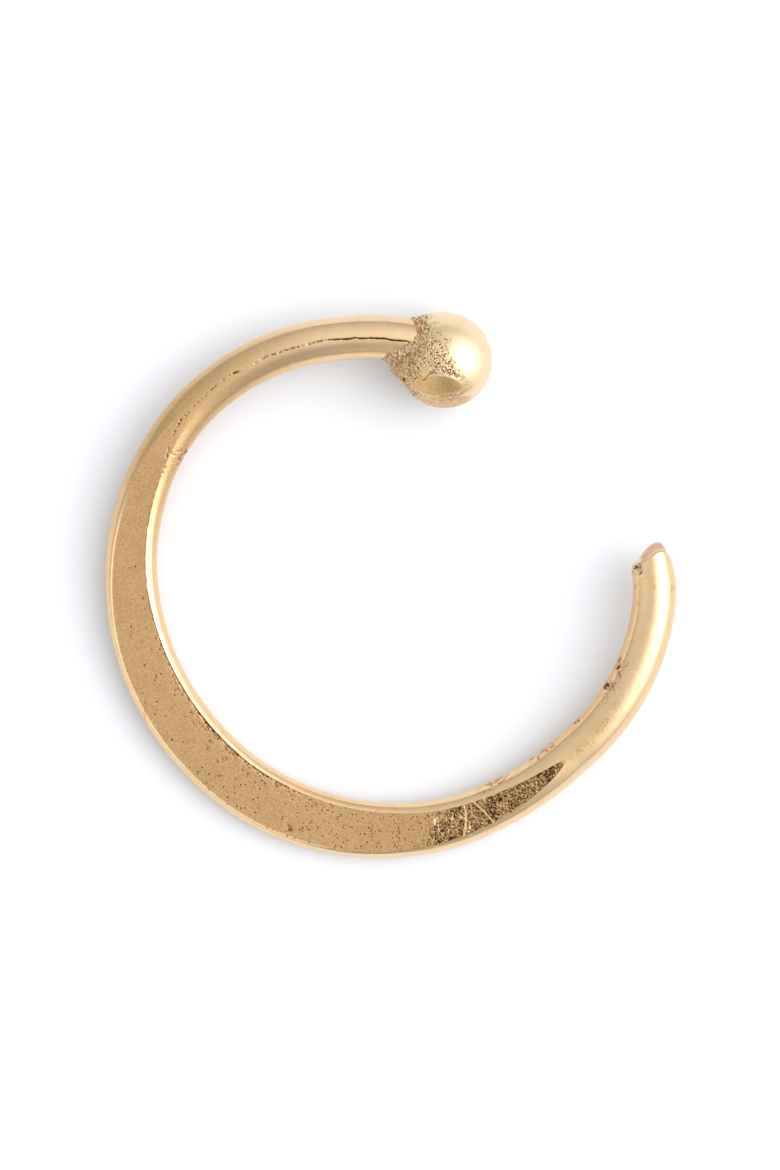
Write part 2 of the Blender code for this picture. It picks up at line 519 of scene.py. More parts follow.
# Stains along the inner rim, with the worn places that they lie in, and a few near the tip
STAINS = (
    Spot(337.9, -0.43, 0.150, -0.002, 0.20, 1.0, 0.0, 0.62),
    Spot(338.9, -0.46, 0.050, -0.004, 0.6, 0.9),
    Spot(336.9, -0.42, 0.062, -0.010, 1.0, 0.4),
    Spot(336.1, -0.35, 0.042, -0.008, 0.9, 0.6),
    Spot(332.2, -0.42, 0.150, -0.002, 0.20, 1.0, 0.0, 0.62),
    Spot(331.6, -0.475, 0.060, -0.010, 1.0, 0.4),
    Spot(332.3, -0.455, 0.042, -0.010, 1.0, 0.4),
    Spot(332.6, -0.34, 0.045, -0.003, 0.55, 0.9),
    Spot(320.4, -0.495, 0.046, -0.010, 0.95, 0.3),
    Spot(321.3, -0.495, 0.046, -0.010, 0.95, 0.3),
    Spot(151.0, -0.46, 0.150, -0.002, 0.15, 1.0, 0.0, 0.7),
    Spot(149.2, -0.48, 0.050, -0.006, 0.7, 0.9),
    Spot(150.3, -0.45, 0.050, -0.006, 0.5, 0.9),
    Spot(151.5, -0.43, 0.050, -0.006, 0.6, 0.9),
    Spot(152.9, -0.46, 0.045, -0.004, 0.5, 0.8),
    Spot(349.8, -0.47, 0.040, -0.002, 0.30, 0.9),
    Spot(352.9, -0.40, 0.038, -0.002, 0.25, 0.9),
    Spot(356.8, -0.45, 0.044, -0.003, 0.35, 0.9),
    Spot(356.9, 0.00, 0.048, -0.001, 0.10, 0.6),
    Spot(356.4, 0.43, 0.060, -0.001, 0.12, 0.9),
)
# The rough place round the nick, and its lumps
NICK = (
    Spot(360.9, -0.36, 0.150, 0.006, 0.0, 0.0, 0.0, 0.30),
    Spot(361.9, -0.34, 0.050, 0.034),
    Spot(361.0, -0.29, 0.044, 0.030),
    Spot(360.5, -0.41, 0.050, 0.030),
    Spot(359.5, -0.33, 0.044, 0.020),
    Spot(360.2, -0.24, 0.036, 0.014),
)


@dataclass
class Wire:
    """The wire from inside the ball, over the top and round the crescent, to the nipped tip."""

    diameter: float = 1.02
    hoop_radius: float = 6.06
    crescent_width: float = 1.44
    crescent_thickness: float = 0.60
    hidden_start: float = 81.0
    tip_end: float = 365.4
    # The cut is a worn ridge between a long inner slope and a short outer one, with a shoulder.
    inner_slope: float = math.radians(32)
    outer_slope: float = math.radians(14)
    lean: float = math.radians(11)
    ridge: float = 0.12
    ridge_wear: float = 0.045
    shoulder: float = 0.40
    # Where, in mm out, the shoulder falls away, and where the lean fades in and out again
    shoulder_out: tuple[float, float] = (0.24, 0.58)
    lean_from: tuple[float, float] = (-0.36, -0.14)
    lean_to: tuple[float, float] = (0.24, 0.42)
    least_lean: float = 0.25
    # How far the cutters squeezed the outer side in, and over which degrees
    squeeze: float = 0.13
    squeezed_from: tuple[float, float] = (356, 364.5)
    # The cut's rounded rim: its depth, how far in its two rings lie and how much of it each has
    # lost, and how wide the flat face inside it is
    cut_rim: float = 0.03
    rim_sizes: tuple[float, float] = (0.985, 0.955)
    rim_lost: tuple[float, float] = (0.35, 0.06)
    face_size: float = 0.97
    # How many mm before the cut the last whole section lies
    last_section: float = 0.1
    fillet_passes: int = 3
    tip_rings: int = 26
    cut_rings: int = 26
    # How many faces the mesh has across each part of the wire's section
    upper_side: int = 22
    top_flat: int = 40
    lower_side: int = 7
    under_flat: int = 10
    crowding: float = 0.7

    # How high up the round wire the band begins that becomes the flat. It closes to a point where
    # the crescent runs out.
    border_turn = Course(
        (80, 74), (296, 74), (304, 84), (313.5, 87), (322, 80), (335, 74), (368, 74)
    )
    # Where the section is a flattened round with no edge, before the hammer's flat begins
    roundness = Course((80, 1), (138, 1), (153, 0), (368, 0))
    # How far apart the rings are: close together where the surface is pitted, seamed or rough
    ring_step = Course(
        (80, 0.05), (88, 0.033), (150, 0.033), (160, 0.049), (268, 0.049), (276, 0.02),
        (314, 0.02), (330, 0.026), (336, 0.05), (356, 0.05), (359, 0.034), (368, 0.034),
    )

    def __post_init__(self) -> None:
        """Turns the stations into one course for each measure."""
        self.shape = {
            name: Course(*((station.angle, getattr(station, name)) for station in STATIONS))
            for name in ("bend", "spread", "press", "inner", "outer")
        }

    def axis(self, angle: Array) -> tuple[Array, Array]:
        """The wire's axis in the hoop's plane.

        Args:
            angle: degrees round the hoop.

        Returns:
            The point on the axis, and the direction out of the hoop, both as x and y.
        """

        def spot(turn: Array) -> Array:
            """The point on the axis at this many degrees."""
            radius, turn_rad = self.hoop_radius * self.shape["bend"].at(turn), np.radians(turn)
            return np.stack([radius * np.cos(turn_rad), radius * np.sin(turn_rad)], axis=-1)

        along = spot(angle + 0.5) - spot(angle - 0.5)
        along /= np.linalg.norm(along, axis=-1, keepdims=True)
        return spot(angle), np.stack([along[..., 1], -along[..., 0]], axis=-1)

    def borders(self, angle: Array) -> dict[str, Array]:
        """The section's measures at an angle.

        Args:
            angle: degrees round the hoop.

        Returns:
            By name, in mm: the half sizes, the height of the flat's borders, how far out each
            border lies, and how far each side bulges past it.
        """
        radius = self.diameter / 2
        spread, press = self.shape["spread"].at(angle), self.shape["press"].at(angle)
        half_width = mix(self.diameter, self.crescent_width, spread) / 2
        half_thickness = mix(self.diameter, self.crescent_thickness, press) / 2
        turn = np.radians(self.border_turn.at(angle))
        height = np.minimum(half_thickness, radius * np.sin(turn))
        pressed = radius - np.sqrt(radius**2 - height**2)
        at = {"half_width": half_width, "half_thickness": half_thickness, "height": height}
        for side in ("inner", "outer"):
            at[f"{side}_bulge"] = mix(pressed, height, self.shape[side].at(angle))
            at[side] = half_width - at[f"{side}_bulge"]
        return at

    def section(self, angle: Array) -> tuple[Array, Array]:
        """The outline across the wire at each angle, from the outer side over the top.

        Args:
            angle: degrees round the hoop, one for each ring.

        Returns:
            How far out and how far up each point lies, with a row for each ring.
        """
        at = {name: values[:, None] for name, values in self.borders(angle).items()}
        height = at["height"]
        turn = np.radians(self.border_turn.at(angle))[:, None]

        def even(count: int) -> Array:
            """Evenly spaced shares that stop short of 1."""
            return (np.arange(count) / count)[None, :]

        def crowded(count: int) -> Array:
            """Shares over a flat, closer together near its borders."""
            shares = even(count)
            return mix(shares, (1 - np.cos(math.pi * shares)) / 2, self.crowding)

        def side(name: str, shares: Array, half: int, way: int) -> tuple[Array, ...]:
            """Points of a side's arc.

            Args:
                name: inner or outer.
                shares: from 0 at the side's middle to 1 at the flat's border.
                half: how many half turns round the side's middle is.
                way: 1 where the border lies onwards from the middle, and -1 where it lies back.

            Returns:
                How far out and up each point lies, and its turn round the section.
            """
            bulge, border = at[f"{name}_bulge"], at[name]
            arc = (bulge**2 + height**2) / (2 * bulge)
            reach = np.arctan2(height, arc - bulge) * shares
            out, up = border + arc * np.cos(reach) - arc + bulge, arc * np.sin(reach)
            out_way = -1 if half == 1 else 1
            return out_way * out, out_way * way * up, half * math.pi + way * shares * turn

        def flat(shares: Array, half: int) -> tuple[Array, ...]:
            """Points of a flat.

            Args:
                shares: from 0 to 1 over the flat.
                half: 0 for the top flat and 1 for the one below.

            Returns:
                How far out and up each point lies, and its turn round the section.
            """
            over = 1 - shares if half else shares
            rise = (at["half_thickness"] - height) * (1 - (2 * over - 1) ** 2)
            out, up = mix(at["outer"], -at["inner"], over), height + rise
            return out, (-up if half else up), half * math.pi + turn + shares * (math.pi - 2 * turn)

        upper, lower = even(self.upper_side), even(self.lower_side)
        parts = (
            side("outer", upper, 0, 1),
            flat(crowded(self.top_flat), 0),
            side("inner", 1 - upper, 1, -1),
            side("inner", lower, 1, 1),
            flat(crowded(self.under_flat), 1),
            side("outer", 1 - lower, 2, -1),
        )
        out, up, place = (np.concatenate(column, axis=1) for column in zip(*parts))
        # A flattened round has no border. Both outlines have the same points in the same order.
        roundness = self.roundness.at(angle)[:, None]
        out = mix(out, at["half_width"] * np.cos(place), roundness)
        up = mix(up, at["half_thickness"] * np.sin(place), roundness)
        for _ in range(self.fillet_passes):
            out, up = ((np.roll(v, 1, 1) + 2 * v + np.roll(v, -1, 1)) / 4 for v in (out, up))
        return out, up

    def ring_angles(self, last: float) -> Array:
        """Spaces the rings.

        Args:
            last: where the last ring is, in degrees round the hoop.

        Returns:
            Where each ring is, in degrees round the hoop.
        """
        angles = [self.hidden_start]
        while angles[-1] < last:
            step = float(self.ring_step.at(angles[-1]))
            angles.append(angles[-1] + math.degrees(step / self.hoop_radius))
        share = (np.array(angles) - angles[0]) / (angles[-1] - angles[0])
        return mix(self.hidden_start, last, share)

    def cut_reach(self, out: Array, up: Array) -> Array:
        """How far past the tip's end the cut lies. The underside is longer than the top.

        Args:
            out: mm out from the wire's axis.
            up: mm up from the wire's axis.

        Returns:
            mm past the tip's end.
        """
        inner = (out - self.ridge) * math.tan(self.inner_slope)
        outer = (self.ridge - out) * math.tan(self.outer_slope)
        worn = self.ridge_wear
        ridge = -worn * np.logaddexp(-inner / worn, -outer / worn)
        shoulder = self.shoulder * ramp(out, *self.shoulder_out)
        leaning = mix(self.least_lean, 1.0, ramp(out, *self.lean_from))
        leaning *= 1 - ramp(out, *self.lean_to)
        return ridge - shoulder - up * math.tan(self.lean) * leaning

    def past_end(self, reach: Array | float) -> Array | float:
        """The degrees round of a point this many mm past the tip's end."""
        return self.tip_end + np.degrees(reach / self.hoop_radius)

    def squeezed(self, out: Array, angle: Array | float) -> Array:
        """The mm out of points whose outer side the cutters squeezed in towards the tip."""
        return out * (1 - self.squeeze * ramp(angle, *self.squeezed_from) * (out > 0))

    def skin(self) -> tuple[Skin, Array, Array, Array]:
        """The smooth wire, before any wear.

        Returns:
            The surface, and for each point of its rings the degrees round, the mm out, and 1 on the
            cut or 0 elsewhere.
        """
        end_out, end_up = self.section(np.array([self.tip_end]))
        end_out = self.squeezed(end_out, self.tip_end)
        end_reach = self.cut_reach(end_out, end_up)
        last = float(self.past_end(end_reach.min() - self.last_section))
        angles = self.ring_angles(last)
        out, up = self.section(angles)
        out = self.squeezed(out, angles[:, None])
        angle = np.repeat(angles[:, None], out.shape[1], axis=1)
        # The wire's sides run on to the cut, and then the cut closes over the end.
        shares = (np.arange(1, self.tip_rings + 1) / self.tip_rings)[:, None]
        tip_out, tip_up = mix(out[-1:], end_out, shares), mix(up[-1:], end_up, shares)
        tip_angle = mix(last, self.past_end(end_reach - self.cut_rim), shares)
        inwards = (1 - np.arange(2, self.cut_rings) / self.cut_rings) * self.face_size
        cap = np.array([*self.rim_sizes, *inwards])[:, None]
        lost = self.cut_rim * np.array([*self.rim_lost, *np.zeros(len(inwards))])[:, None]
        cap_out, cap_up = end_out * cap, end_up * cap
        cap_angle = self.past_end(self.cut_reach(cap_out, cap_up) - lost)
        cut = np.concatenate([np.zeros_like(out), np.zeros_like(tip_out), np.ones_like(cap_out)])
        out = np.concatenate([out, tip_out, cap_out])
        up = np.concatenate([up, tip_up, cap_up])
        angle = np.concatenate([angle, tip_angle, cap_angle])
        middle, outwards = self.axis(angle)
        rings = np.concatenate([middle + outwards * out[..., None], up[..., None]], axis=-1)
        ends = self.hidden_start - 1.0, self.past_end(self.cut_reach(0.0, 0.0))
        poles = (np.array([*self.axis(np.array([end]))[0][0], 0.0]) for end in ends)
        return Skin(rings, *poles), angle, out, cut


@dataclass
class WireWear:
    """What making and wearing did to the wire.

    For each point of the rings, angle is degrees round, out is mm out, and cut is 1 on the cut.
    """

    wire: Wire
    skin: Skin
    angle: Array
    out: Array
    cut: Array

    # The drawn wire's seam, which wanders about the top and then joins the flat's inner border
    seam = Course(
        (80, -0.03), (92, -0.02), (104.5, 0.005), (116, -0.01), (120.4, 0.02), (125.6, -0.05),
        (127.7, 0.03), (134, 0.04), (137.3, 0.015), (144, 0.03), (146.6, 0.0), (149.5, -0.06),
        (155.4, -0.24), (160, -0.30),
    )
    seam_open = Course(
        (80, 1.0), (102, 0.95), (105, 0.7), (116, 0.6), (121, 0.35), (126.5, 0.2), (127.5, 0.9),
        (129, 0.25), (132.5, 0.2), (134, 0.75), (136, 0.2), (143, 0.25), (144.5, 0.6), (147, 0.3),
        (156, 0.35), (158, 0.0),
    )
    seam_dark = Course(
        (80, 1.0), (102, 1.0), (106, 0.72), (120, 0.62), (126, 0.5), (128, 0.95), (131, 0.55),
        (134, 0.9), (138, 0.55), (144, 0.8), (158, 0.6),
    )
    # How dull the wire is where the hammer's satin runs out over it
    dulled = Course(
        (106, 0), (118, 0.35), (132, 0.7), (150, 0.85), (165, 0.5), (180, 0.2), (200, 0)
    )
    inner_line = Course(
        (153, 0), (158, 0.45), (165, 0.6), (180, 0.65), (205, 0.8), (222, 0.75), (240, 0.6),
        (250, 0.4), (258, 0),
    )
    outer_line = Course((244, 0), (256, 0.4), (265, 1), (292, 1), (303, 0.6), (311, 0.3), (313, 0))
    hairs = Course(
        (180, 0), (192, 0.2), (200, 0.45), (212, 0.7), (220, 1), (236, 1), (245, 0.7),
        (252, 0.45), (262, 0),
    )
    # Pits that are cut into the mesh, and pinpoint ones
    pitting = Course(
        (140, 0), (170, 0.01), (200, 0.015), (235, 0.03), (248, 0.07), (260, 0.13), (290, 0.2),
        (314, 0),
    )
    dots = Course(
        (140, 0.04), (170, 0.07), (200, 0.10), (235, 0.16), (250, 0.22), (262, 0.31), (272, 0.42),
        (284, 0.48),
    )
    band_middle = Course((313, 0.06), (324, 0.02), (334, 0.0))
    # Where the inner rim is rubbed through towards the copper
    rubbed = Course(
        (291, 0), (294, 0.9), (299, 0.9), (302, 0.25), (305, 0.25), (307.5, 1), (312, 1),
        (315, 0.3), (318, 0),
    )

    def __post_init__(self) -> None:
        """Works out where each point lies, while the surface is still smooth."""
        self.normals = self.skin.normals()
        self.facing, self.up = self.normals[..., 2], self.skin.rings[..., 2]
        self.along = np.radians(self.angle) * self.wire.hoop_radius
        self.surface = flat_points(self.along, self.out)
        self.lengthwise = flat_points(self.along, 0 * self.out)
        at = self.wire.borders(self.angle)
        self.inside, self.outside = self.out + at["inner"], at["outer"] - self.out
        self.on_top = ramp(self.facing, 0.05, 0.3) * (1 - self.cut)
        pressed = ramp(self.wire.shape["press"].at(self.angle), 0.0, 0.012)
        self.on_flat = pressed * ramp(self.angle, 150, 154) * (1 - self.cut)
        level = np.abs(self.facing) > 0.96
        self.on_flat *= level & (self.outside > 0.004) & (self.inside > 0.004)
        self.top_flat = self.on_flat * (self.up > 0)
        self.broad = ripple(self.surface, 0.12, seed=43)
        self.dress = Dressing.over(self.out.shape)

    def apply(self) -> dict[str, Array]:
        """Cuts everything into the surface.

        Returns:
            What to paint on the rings' points: each kind of wear, and as course each point's mm
            along, out and up.
        """
        self.open_seam()
        self.line_borders()
        self.pit_flats()
        self.roughen_patch()
        self.band_and_rim()
        self.blemish()
        self.bare_cut()
        self.skin.rings += self.normals * self.dress.rise[..., None]
        course = np.stack([self.along, self.out, self.skin.rings[..., 2]], axis=-1)
        return {**self.dress.wear, "course": course}

    def off(self, places: Line) -> Array:
        """How far each point is, in mm, from a line through places in degrees round and mm out."""
        line = [(math.radians(angle) * self.wire.hoop_radius, out) for angle, out in places]
        return off_line(self.surface[..., :2], line)

    def open_seam(self) -> None:
        """The dashed seam."""
        wander = (ripple(self.lengthwise, 0.13, seed=3) - 0.5) * 0.03
        dash = ripple(self.lengthwise, 0.034, seed=5)
        openness = self.seam_open.at(self.angle)
        opened = ramp(dash, 0.92 - openness, 1.12 - openness)
        opened *= ramp(openness, 0.0, 0.2) * self.on_top
        ragged = 0.007 + 0.016 * ripple(flat_points(self.along, self.out / 3), 0.028, seed=7)
        off_seam = np.abs(self.out - self.seam.at(self.angle) - wander)
        groove = opened * (1 - ramp(off_seam, ragged, ragged + 0.012))
        self.dress.lay(groove, -0.014, tarnish=self.seam_dark.at(self.angle))

    def line_borders(self) -> None:
        """The flat's satin, and what runs along its two borders."""
        # The dark line and the hairs along the inner border
        wide = 0.022 * ripple(self.surface, 0.09, seed=11) * ramp(self.angle, 195, 215)
        strength = self.inner_line.at(self.angle)
        off_line_mm = np.abs(self.inside - 0.008)
        line = strength * (1 - ramp(off_line_mm, 0.6 * (0.010 + wide), 0.022 + wide))
        line *= self.on_top * ramp(ripple(self.lengthwise, 0.11, seed=13) + strength, 0.7, 1.0)
        self.dress.lay(line, -0.008 * ramp(self.angle, 190, 215), tarnish=0.95)
        tufts = 0.5 + ripple(self.lengthwise, 0.16, seed=15)
        density = self.hairs.at(self.angle) * (self.inside > 0)
        density *= np.exp(-np.maximum(self.inside, 0) / (0.095 * tufts))
        gap, number = speckle(self.surface * (1 / 0.62, 1 / 1.8, 1), 0.034, seed=17)
        hair = (number < 1.2 * density) * (1 - ramp(gap, 0.009, 0.020)) * self.top_flat
        self.dress.lay(hair, -0.008, tarnish=0.8)
        self.dress.lay(self.top_flat, grainy=1.1 * density)
        # The thin brown line along the outer border
        brown = self.outer_line.at(self.angle) * self.on_top
        brown *= 1 - ramp(np.abs(self.outside - 0.004), 0.004, 0.014)
        self.dress.lay(brown, tarnish=0.36)
        # Metal pushed up into a thin bead along the outer border, and rubbed bright
        bead = hump(self.angle, (160, 172), (250, 264)) * self.top_flat
        bead = bead * np.exp(-(((self.outside - 0.024) / 0.024) ** 2))
        self.dress.lay(bead, 0.009)
        self.dress.lay(self.on_flat, planished=1.0)
        sides = ramp(np.abs(self.facing), 0.1, 0.5)
        self.dress.lay(sides, planished=self.dulled.at(self.angle))
        self.dress.wear[Wear.PLANISHED] *= 1 - np.clip(1.3 * bead, 0, 1)

    def pit_flats(self) -> None:
        """Pits over both flats, which differ above and below."""
        places = flat_points(self.along / 0.8, self.out / 1.25)
        places[..., 2] = self.up * 9
        for size, seed, share, depth in ((0.085, 23, 1.0, 0.010), (0.050, 29, 0.6, 0.006)):
            gap, number = speckle(places, size, seed)
            crowd = self.pitting.at(self.angle) * share
            width = 0.10 + 0.16 * number / np.maximum(crowd, 0.05)
            pit = (number < crowd) * (1 - ramp(gap / size, width * 0.5, width)) * self.on_flat
            self.dress.lay(pit, -depth, tarnish=0.75)

    def roughen_patch(self) -> None:
        """The rough patch where the flat runs out to its point, and the flecks before it."""
        edge = 279.5 - 4.0 * np.clip(self.out, -0.3, 0.6)
        edge += 5.0 * (ripple(self.surface, 0.10, seed=31) - 0.5)
        edge += 7.0 * (ripple(self.surface, 0.035, seed=33) - 0.5)
        patch = ramp(self.angle, edge - 0.4, edge + 0.8) * self.top_flat
        sparse = ramp(self.angle, 268, 282) * self.top_flat * (1 - patch)
        at_point = ramp(self.angle, 303, 312)
        gap, number = speckle(self.surface, 0.042, seed=37)
        fine, uneven = ripple(self.surface, 0.026, seed=41), self.broad - 0.5
        granule = 1 - ramp(gap, 0.008, 0.026)
        dirt = 0.47 + 0.5 * (fine - 0.5) + 0.3 * uneven - 0.7 * granule * (number > 0.5)
        dirt = np.clip(dirt + 0.12 * at_point, 0.0, 1.0)
        crumbs = 0.78 + 0.3 * uneven + 0.2 * at_point
        crumbs *= 1 - 0.7 * granule * (number > 0.6)
        relief = 0.012 * granule * (0.3 + number) + 0.010 * fine - 0.008
        self.dress.lay(patch, relief, tarnish=dirt, matte=0.15, grainy=crumbs)
        self.dress.lay(self.on_flat, pitted=self.dots.at(self.angle) * (1 - patch))
        # Fine scuffs that only catch the light, over both flats
        self.dress.lay(self.on_flat, grainy=0.16 * ripple(self.surface, 0.25, seed=45))
        self.dress.lay(sparse, grainy=0.46 * ramp(self.broad, 0.1, 0.6))
        flecks = sparse * (number < 0.30) * (1 - ramp(gap, 0.006, 0.018))
        self.dress.lay(flecks, -0.006, tarnish=0.6)

    def band_and_rim(self) -> None:
        """A grainy band that carries on from the patch's point, the rubbed inner rim, and a painted
        reflection of the shaded table along that rim.
        """
        band = hump(self.angle, (312, 316), (327, 335)) * self.on_top
        band *= np.exp(-(((self.out - self.band_middle.at(self.angle)) / 0.13) ** 2))
        band *= 0.55 + 0.45 * ramp(self.broad, 0.2, 0.6)
        gap, number = speckle(self.surface * (1 / 1.3, 1, 1), 0.031, seed=47)
        grit = (number < 0.85) * (1 - ramp(gap, 0.003, 0.015))
        self.dress.lay(band * grit, -0.006, tarnish=0.45 + 0.45 * number)
        self.dress.lay(band, planished=0.6)
        rubbed = self.rubbed.at(self.angle) * ramp(-self.out, 0.37, 0.43) * self.on_top
        streaks = ripple(flat_points(self.along / 2.4, self.out), 0.030, seed=53)
        self.dress.lay(rubbed * ramp(streaks, 0.42, 0.72), -0.003, blush=1.0, tarnish=0.5)
        # Painted reflection: the inner rim's darker pink-orange stands in for the shaded table
        # mirrored there, over some real grain
        rim = ramp(self.angle, 296, 318) * ramp(-self.out, 0.37, 0.44) * self.on_top
        rim *= 0.6 + 0.4 * ripple(flat_points(self.along / 2.5, self.out), 0.05, seed=57)
        self.dress.lay(rim, blush=0.8, tarnish=0.16, grainy=0.4)

    def blemish(self) -> None:
        """The marks and spots, each in its own place."""
        for mark in MARKS:
            gap = self.off(mark.places)
            line = (1 - ramp(gap, mark.half_width * 0.7, mark.half_width * 1.7)) * self.on_top
            self.dress.rub(mark.burnish * line)
            self.dress.lay(line, -mark.depth, tarnish=mark.tarnish)
        lumps = 0.15 + 1.7 * ripple(self.surface, 0.030, seed=59)
        # A stain breaks up where it runs down the wire's side.
        side = self.facing + 0.6 * (ripple(self.skin.rings, 0.05, seed=67) - 0.5)
        broken = ramp(side, 0.12, 0.34) * (1 - self.cut)
        for spot in (*PITS, *KNOBS, *STAINS, *NICK):
            gap = self.off(((spot.angle, spot.out), (spot.angle + 0.01, spot.out))) * lumps
            stain = (1 - ramp(gap, spot.radius * 0.45, spot.radius * 1.1)) * broken
            self.dress.rub(spot.burnish * stain)
            self.dress.lay(
                stain, spot.rise, tarnish=spot.tarnish, blush=spot.blush, grainy=spot.grain
            )

    def bare_cut(self) -> None:
        """The crumpled nick at the cut's inner corner, and the bare cut with fine lines over it."""
        nick = 1 - ramp(self.off(((360.6, -0.40), (361.7, -0.36))), 0.07, 0.16)
        slanted = self.surface + 0.5 * flat_points(self.out, self.along)
        crumple = ripple(slanted, 0.075, seed=63) - 0.5
        folds = 0.2 * ramp(-crumple, 0.12, 0.26)
        self.dress.lay(nick * self.on_top, 0.060 * crumple, tarnish=folds)
        # Gold was dragged over both ends of the cut.
        bare = self.cut * hump(self.out, (-0.30, -0.24), (0.30, 0.36))
        lines = ripple(flat_points(self.out / 5, self.up + 0.12 * self.out), 0.036, seed=61)
        dark = 0.12 + 0.44 * ramp(lines, 0.50, 0.74)
        self.dress.lay(bare, -0.006 * ramp(lines, 0.45, 0.85), tarnish=dark, blush=1.0, matte=0.3)


# The ball


@dataclass
class FusedBall:
    """The ball fused on the wire's end, and the granular neck that runs back over the wire."""

    wire: Wire
    diameter: float = 2.23
    reach: float = 1.315
    inset: float = 0.405
    buried: float = 0.07
    proud: float = 0.012
    hidden_end: float = -0.55
    # Rings are close together over the neck and the pitted side, and wider where it is smooth.
    neck_start: float = -0.25
    neck_end: float = 0.75
    pitted_end: float = math.radians(48)
    hidden_rings: int = 8
    neck_rings: int = 82
    pitted_rings: int = 112
    smooth_rings: int = 32
    around: int = 400
    # How much closer together the points are round the top
    top_crowding: float = 0.55

    # How ragged the lip is, how softly it starts, how far it takes to swell to the neck's full
    # size, and how far the hidden end takes to close
    lip_wander: float = 0.11
    lip_start: tuple[float, float] = (-0.030, 0.008)
    swelling: float = 0.30
    closing: float = 0.15

    # The lip, where the ball's metal stopped along the wire. 0 degrees is outside the hoop, 90 the
    # top and 180 the inside.
    lip = Course(
        (0, 0.49), (30, 0.56), (55, 0.63), (85, 0.54), (112, 0.19), (150, -0.08), (180, -0.14),
        (225, -0.02), (270, 0.16), (320, 0.38), (360, 0.49),
    )
    # Where the pits stop, as mm right of the ball's middle for a height up the picture
    pit_border = Course(
        (-1.2, 0.05), (-0.75, 0.30), (-0.55, 0.44), (-0.26, 0.34), (0.0, 0.20), (0.24, 0.08),
        (0.52, -0.06), (0.82, -0.24), (1.2, -0.40),
    )
    # A creased line, and the line low on the ball where the table's horizon reflects, cut as a
    # shallow groove and painted as that dark pink reflection
    crease_line = ((-0.48, -0.45), (-0.40, -0.40), (-0.38, -0.33), (-0.31, -0.29), (-0.23, -0.20))
    horizon_line = ((-0.66, -0.61), (-0.37, -0.74), (-0.07, -0.80), (0.35, -0.78), (0.64, -0.61))

    def edge(self, along: Array, side: int) -> Array:
        """How far out the neck or the ball reaches.

        Args:
            along: mm past the wire's end.
            side: 1 outside the hoop and -1 inside it.

        Returns:
            mm out from the wire's axis.
        """
        thin, thick = self.wire.diameter / 2, self.diameter / 2
        distance = math.hypot(self.reach, self.inset)
        turn = math.atan2(-self.inset, self.reach) + side * math.acos((thin - thick) / distance)
        normal_along, normal_out = math.cos(turn), math.sin(turn)
        tangent = (thin - normal_along * along) / normal_out
        straight = np.maximum(side * tangent, thin) * side
        rise = np.sqrt(np.maximum(thick**2 - (along - self.reach) ** 2, 0))
        on_neck = along < self.reach + thick * normal_along
        return np.where(on_neck, straight, side * rise - self.inset)

    def ring_places(self) -> Array:
        """Spaces the rings.

        Returns:
            How many mm past the wire's end each ring is.
        """
        radius = self.diameter / 2
        first_turn = math.acos((self.neck_end - self.reach) / radius)
        hidden, neck, pitted, smooth = (
            np.linspace(start, end, count, endpoint=False)
            for start, end, count in (
                (self.hidden_end, self.neck_start, self.hidden_rings),
                (self.neck_start, self.neck_end, self.neck_rings),
                (first_turn, self.pitted_end, self.pitted_rings),
                (self.pitted_end, 0.0, self.smooth_rings),
            )
        )
        ball = self.reach + radius * np.cos(np.concatenate([pitted, smooth]))
        return np.concatenate([hidden, neck, ball])

    def skin(self) -> tuple[Skin, dict[str, Array]]:
        """Shapes the ball and its neck, and then weathers them.

        Returns:
            The surface, and the wear to paint on its rings' points.
        """
        middle, outwards = self.wire.axis(np.array([90.0]))
        origin, out_way = np.array([*middle[0], 0.0]), np.array([*outwards[0], 0.0])
        along_way = np.array([out_way[1], -out_way[0], 0.0])
        along = self.ring_places()[:, None]
        even = 2 * math.pi * np.arange(self.around) / self.around
        turn = (even + self.top_crowding * np.cos(even))[None, :]
        top, bottom = self.edge(along, 1), self.edge(along, -1)
        out = (top + bottom) / 2 + (top - bottom) / 2 * np.cos(turn)
        up = (top - bottom) / 2 * np.sin(turn)
        along = along + 0 * out

        # Behind the lip the neck dives into the wire, so that the wire's own surface shows.
        mm_per_degree = 0.0089
        rough = flat_points(along, np.degrees(turn) * mm_per_degree)
        rough[..., 2] = up
        lip = self.lip.at(np.degrees(turn) % 360)
        lip = lip + self.lip_wander * (ripple(rough, 0.06, seed=71) - 0.5)
        shown = ramp(along, *(lip + start for start in self.lip_start))
        swollen = 0.25 + 0.75 * ramp(along, lip, lip + self.swelling)
        closing = ramp(along, self.hidden_end, self.hidden_end + self.closing)
        closing = np.sqrt(np.clip(closing, 0.0004, 1))
        bare = self.wire.diameter / 2 + self.proud
        hidden = (self.wire.diameter / 2 - self.buried) * closing
        out = mix(hidden * np.cos(turn), mix(bare * np.cos(turn), out, swollen), shown)
        up = mix(hidden * np.sin(turn), mix(bare * np.sin(turn), up, swollen), shown)

        rings = origin + along[..., None] * along_way + out[..., None] * out_way
        rings[..., 2] += up
        centre = origin + along_way * self.reach - out_way * self.inset
        first_pole = origin + along_way * (self.hidden_end - 0.002)
        skin = Skin(rings, first_pole, centre + along_way * self.diameter / 2)
        return skin, self.weather(skin, centre, shown)

    def weather(self, skin: Skin, centre: Array, shown: Array) -> dict[str, Array]:
        """Roughens the neck, pits the ball's near side, and paints the shaded table's reflection
        low on the ball.

        Args:
            skin: the smooth surface, which is changed.
            centre: the ball's middle.
            shown: 0 where the neck is inside the wire, and 1 where it shows.

        Returns:
            The wear to paint on the rings' points.
        """
        places = skin.rings
        normals = skin.normals()
        here = places - centre
        right, upwards, height = here[..., 0], here[..., 1], here[..., 2]
        border = self.pit_border.at(upwards) + 0.22 * (ripple(places, 0.13, seed=73) - 0.5)
        pitted = 1 - ramp(right, border - 0.12, border + 0.26)
        necked = 1 - ramp(right, -0.62, -0.34)
